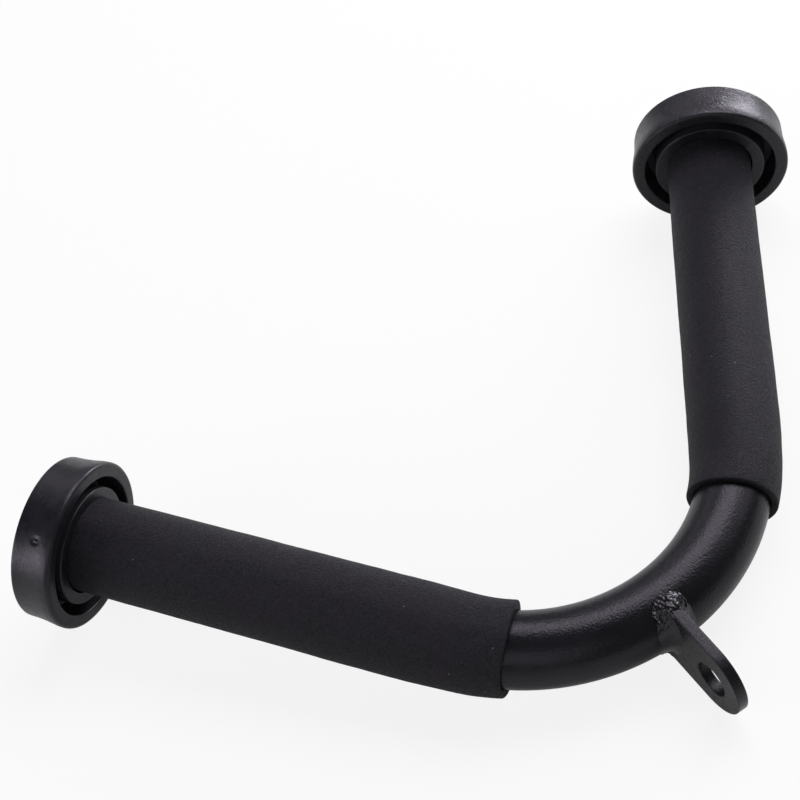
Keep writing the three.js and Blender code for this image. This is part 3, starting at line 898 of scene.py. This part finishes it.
def plastic_material():
    """Satin moulded plastic, streaked by its flow into the mould and scuffed by handling, with painted light
    that colours its groove lighter. The right stop is nicked more than the left one."""
    dark = (0.0063, 0.0059, 0.0074)
    light = (0.0091, 0.0086, 0.0107)
    # painted light: the groove is coloured lighter than the plastic
    groove_painted_light = (0.028, 0.026, 0.029)
    material, tree, shader = new_material("stop_plastic", IOR=1.38, Specular_Tint=GLOSS_TINT)
    streaks = noise_field(tree, 3 * MM, detail=3.0, warp=1.2)
    scuffs = noise_field(tree, 1.2 * MM, detail=3.0, roughness=0.6, warp=2.0)
    waves = noise_field(tree, 6 * MM, warp=0.8)
    grain = noise_field(tree, 0.5 * MM)
    nicks = spread(tree, noise_field(tree, 2.2 * MM, warp=2.5), (0.5, 0.62), SHARE)
    across = add(tree, "ShaderNodeSeparateXYZ", {"Vector": object_place(tree)}).outputs["X"]
    handled = spread(tree, across, (0, FOAM_RADIUS), (0.1, 1))
    nicks = calculate(tree, "MULTIPLY", nicks, handled)
    colour = mix_colours(tree, spread(tree, streaks, MIDDLING, SHARE), dark, light)
    colour = mix_colours(tree, painted_shading_share(tree), colour, groove_painted_light)
    gloss = spread(tree, streaks, WIDER, (0.3, 0.4))
    gloss = calculate(tree, "ADD", gloss, spread(tree, scuffs, (0.58, 0.7), (0, 0.14)))
    normal = bump(tree, [(waves, 0.12 * MM), (scuffs, 0.03 * MM), (nicks, 0.04 * MM), (grain, 0.012 * MM)])
    tree.links.new(colour, shader.inputs["Base Color"])
    tree.links.new(gloss, shader.inputs["Roughness"])
    tree.links.new(normal, shader.inputs["Normal"])
    return material


def steel_material(name, colour, metallic, roughness):
    """Turned or blackened steel with fine machining marks, darker where they are smoother."""
    darker = tuple(0.8 * channel for channel in colour)
    material, tree, shader = new_material(name, Metallic=metallic)
    marks = noise_field(tree, 0.5 * MM, detail=3.0)
    colour = mix_colours(tree, spread(tree, marks, MIDDLING, SHARE), darker, colour)
    gloss = spread(tree, marks, WIDER, (roughness - 0.05, roughness + 0.07))
    tree.links.new(colour, shader.inputs["Base Color"])
    tree.links.new(gloss, shader.inputs["Roughness"])
    tree.links.new(bump(tree, [(marks, 0.01 * MM)]), shader.inputs["Normal"])
    return material


# ------------------------------------------------------------------ the handle

tube_coat = powder_coat(
    "tube_coat",
    dark=(0.0077, 0.0075, 0.0088),
    light=(0.0105, 0.0102, 0.0119),
    roughness=0.19,
    peel_height=0.12 * MM,
    peel_size=0.8 * MM,
    ior=1.31,
)
lug_coat = powder_coat(
    "lug_coat",
    dark=(0.004, 0.0039, 0.004),
    light=(0.007, 0.0067, 0.0074),
    roughness=0.26,
    peel_height=0.12 * MM,
    peel_size=0.5 * MM,
    ior=1.38,
)
weld_coat = powder_coat(
    "weld_coat",
    dark=(0.004, 0.0039, 0.0045),
    light=(0.007, 0.0068, 0.0077),
    roughness=0.18,
    peel_height=0.04 * MM,
    peel_size=0.8 * MM,
    ior=1.42,
)
foam = foam_material()
stop_plastic = plastic_material()
black_steel = steel_material("black_steel", colour=(0.03, 0.03, 0.033), metallic=0.6, roughness=0.4)
bare_steel = steel_material("bare_steel", colour=(0.3, 0.3, 0.31), metallic=1.0, roughness=0.3)

add_piece("bent_tube", bent_tube(), tube_coat, "tube_coat", "handle_tube")
add_piece("lug", lug(), lug_coat, "lug_coat", "cable_lug")
add_piece("lug_weld", weld(), weld_coat, "weld_coat", "lug_weld_left", "lug_weld_right")
for side_name, side in SIDES.items():
    sleeve = add_piece(f"grip_{side_name}", grip(side_name), foam, "foam", f"foam_grip_{side_name}")
    add_piece(f"stop_{side_name}", stop(side_name), stop_plastic, "stop_plastic", f"end_stop_{side_name}")
    add_piece(f"washer_{side_name}", washer(side), black_steel, "black_steel", f"end_washer_{side_name}")
    add_piece(f"screw_{side_name}", screw(side), black_steel, "black_steel", f"end_screw_{side_name}")
    insert = frame["nodes"][f"thread_insert_{side_name}"]
    insert.data.materials.clear()
    insert.data.materials.append(bare_steel)

# ------------------------------------------------------------------ the stage

BOX_CENTRE = (cad_low + cad_high) / 2
CAMERA_AIM = Vector(APEX) + Vector((-0.0206, 0.1327, 0.0126))
CAMERA_AZIMUTH = math.radians(-21.31)
CAMERA_ELEVATION = math.radians(48.53)
CAMERA_ROLL = math.radians(-15.47)
CAMERA_DISTANCE = 0.6487
CAMERA_CLIPS = (0.01, 20.0)
LENS_LENGTH = 74.09  # this and the sensor are in millimetres, as Blender counts them
SENSOR_WIDTH = 36.0
FLOOR_SIZE = 40.0
FLOOR_COLOUR = (0.9, 0.92, 0.86, 1)
LIGHT_DISTANCE = 1.3
LIGHT_TINT = (1.0, 0.97, 1.08)
WORLD_STRENGTH = 0.06
CAMERA_LIFT = 0.85  # how much of the floor's white is its own and can't be shadowed, for the camera
GLOSSY_LIFT = 0.1  # and for a reflection
LIGHTS = (  # (name, azimuth, elevation, width, height, strength)
    ("key", 118, 10, 0.55, 0.42, 12.2),
    ("right", 88, 36, 1.0, 0.75, 1.45),
    ("high", 124, 59, 1.0, 0.66, 5.0),
    ("left", -102, 15, 0.7, 0.5, 4.7),
    ("back", 176, 30, 1.1, 0.5, 1.0),
    ("front", -50, 31, 1.3, 0.9, 0.9),
)


def add_camera():
    """A camera that looks at CAMERA_AIM, rolled a little."""
    back = Vector((
        math.sin(CAMERA_AZIMUTH) * math.cos(CAMERA_ELEVATION),
        -math.cos(CAMERA_AZIMUTH) * math.cos(CAMERA_ELEVATION),
        math.sin(CAMERA_ELEVATION),
    ))
    data = bpy.data.cameras.new("camera")
    data.lens = LENS_LENGTH
    data.sensor_width = SENSOR_WIDTH
    data.clip_start, data.clip_end = CAMERA_CLIPS
    camera = bpy.data.objects.new("camera", data)
    bpy.context.scene.collection.objects.link(camera)
    turn = (-back).to_track_quat("-Z", "Y").to_matrix() @ Matrix.Rotation(CAMERA_ROLL, 3, "Z")
    camera.matrix_world = Matrix.Translation(CAMERA_AIM + back * CAMERA_DISTANCE) @ turn.to_4x4()
    bpy.context.scene.camera = camera


def softbox(name, azimuth, elevation, width, height, strength):
    """A rectangular area light that looks at the handle from a direction, in degrees: azimuth 0 is from
    the lug's side and 90 from the right. strength is the light that leaves each square metre, over pi."""
    turn = math.radians(azimuth)
    lift = math.radians(elevation)
    way = Vector((math.sin(turn) * math.cos(lift), -math.cos(turn) * math.cos(lift), math.sin(lift)))
    data = bpy.data.lights.new(name, "AREA")
    data.shape = "RECTANGLE"
    data.size = width
    data.size_y = height
    data.color = LIGHT_TINT
    data.energy = strength * math.pi * width * height
    light = bpy.data.objects.new(name, data)
    bpy.context.scene.collection.objects.link(light)
    light.location = BOX_CENTRE + way * LIGHT_DISTANCE
    light.rotation_mode = "QUATERNION"
    light.rotation_quaternion = (-way).to_track_quat("-Z", "Y")


def own_white(tree):
    """The share of the floor's or the world's look that is its own plain white, whatever light there is:
    most of it for the camera and through glass, some in a reflection, and none for what it lights."""
    path = add(tree, "ShaderNodeLightPath").outputs
    straight = calculate(tree, "MAXIMUM", path["Is Camera Ray"], path["Is Transmission Ray"])
    seen = calculate(tree, "MULTIPLY", straight, CAMERA_LIFT)
    mirrored = calculate(tree, "MULTIPLY", path["Is Glossy Ray"], GLOSSY_LIFT)
    return calculate(tree, "MAXIMUM", seen, mirrored)


def add_floor():
    """A pale matte floor under the handle, which keeps its shadow."""
    work = bmesh.new()
    bmesh.ops.create_grid(work, x_segments=1, y_segments=1, size=FLOOR_SIZE / 2)
    mesh = bpy.data.meshes.new("floor")
    work.to_mesh(mesh)
    work.free()
    floor = bpy.data.objects.new("floor", mesh)
    bpy.context.scene.collection.objects.link(floor)
    floor.location.z = cad_low.z
    material = bpy.data.materials.new("floor")
    material.use_nodes = True
    tree = material.node_tree
    tree.nodes.clear()
    matte = add(tree, "ShaderNodeBsdfDiffuse", {"Color": FLOOR_COLOUR}).outputs[0]
    white = add(tree, "ShaderNodeEmission", {"Color": (1, 1, 1, 1), "Strength": 1.0}).outputs[0]
    mixed = add(tree, "ShaderNodeMixShader", {0: own_white(tree), 1: matte, 2: white})
    add(tree, "ShaderNodeOutputMaterial", {"Surface": mixed.outputs[0]})
    mesh.materials.append(material)


def add_world():
    """A dim surrounding light that looks as white as the floor to the camera."""
    world = bpy.data.worlds.new("world")
    bpy.context.scene.world = world
    world.use_nodes = True
    tree = world.node_tree
    tree.nodes.clear()
    dimness = {"Color": (*LIGHT_TINT, 1), "Strength": WORLD_STRENGTH}
    dim = add(tree, "ShaderNodeBackground", dimness).outputs[0]
    white = add(tree, "ShaderNodeBackground", {"Color": (1, 1, 1, 1), "Strength": 1.0}).outputs[0]
    mixed = add(tree, "ShaderNodeMixShader", {0: own_white(tree), 1: dim, 2: white})
    add(tree, "ShaderNodeOutputWorld", {"Surface": mixed.outputs[0]})


add_camera()
add_floor()
add_world()
for light in LIGHTS:
    softbox(*light)

bpy.context.scene.view_settings.view_transform = "Standard"
